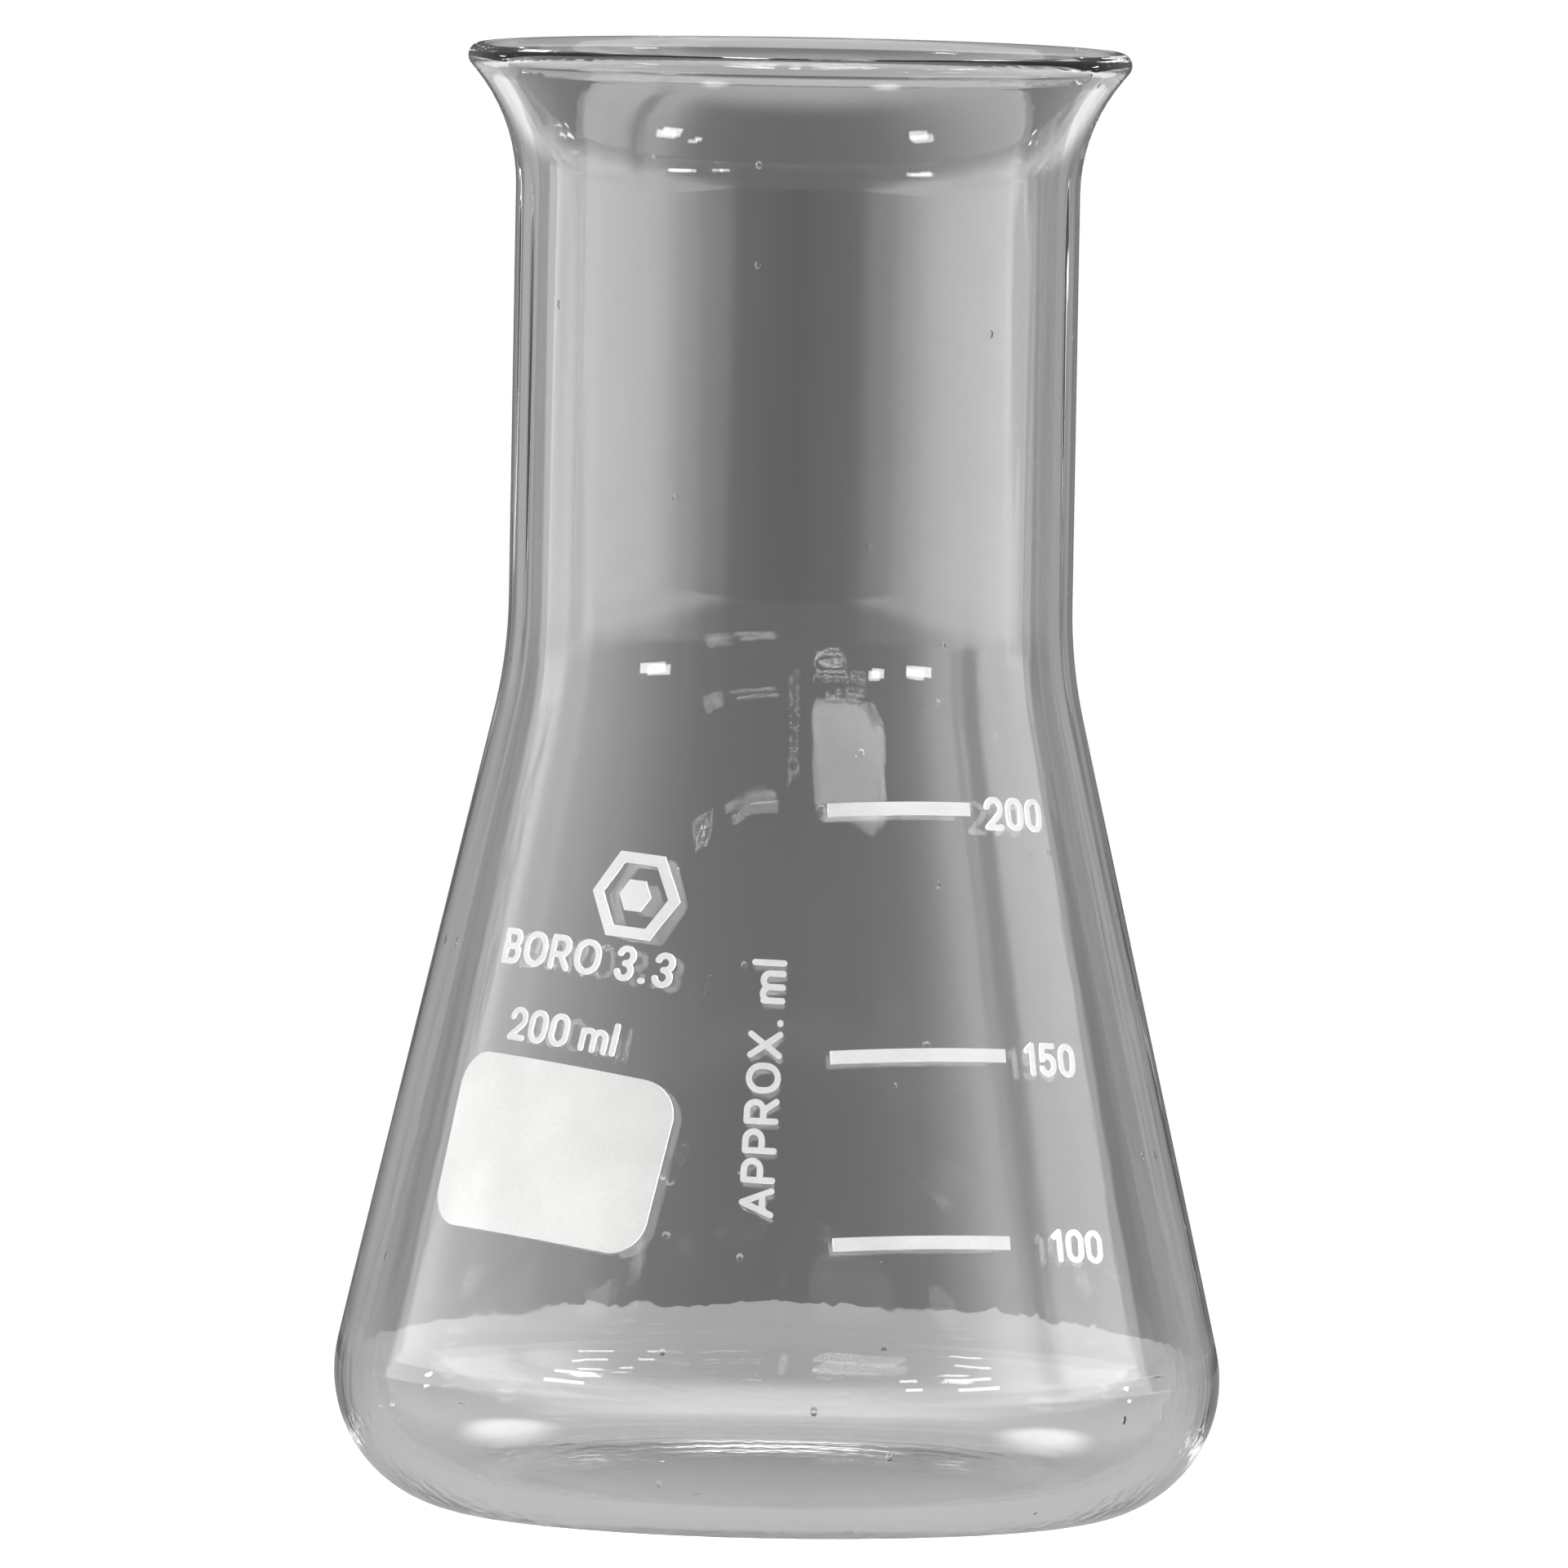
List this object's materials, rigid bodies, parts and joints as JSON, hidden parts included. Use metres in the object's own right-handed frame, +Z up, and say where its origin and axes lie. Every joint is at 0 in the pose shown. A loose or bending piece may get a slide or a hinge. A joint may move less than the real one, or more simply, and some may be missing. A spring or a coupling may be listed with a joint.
{
  "type": "erlenmeyer flask",
  "caption": "Wide-necked conical laboratory flask of clear glass with a flared rim, rounded base edge and white fused volume marks.",
  "frame": {"origin": "centre of the ring that the flask stands on", "axes": "+Z up along the flask's axis, towards the mouth; -Y is the front with the print, +X to its right"},
  "size_m": [0.0792, 0.0792, 0.131],
  "materials": {
    "borosilicate_glass": "clear, fire-polished",
    "white_enamel": "opaque white fused enamel, satin"
  },
  "bodies": {
    "root": {"flask_body": "borosilicate_glass", "writing_patch": "white_enamel", "emblem": "white_enamel", "graduation_line_200": "white_enamel", "graduation_number_200": "white_enamel", "graduation_line_150": "white_enamel", "graduation_number_150": "white_enamel", "graduation_line_100": "white_enamel", "graduation_number_100": "white_enamel", "approximate_volume_legend": "white_enamel", "nominal_volume": "white_enamel", "glass_type_mark": "white_enamel"}
  },
  "joints": []
}
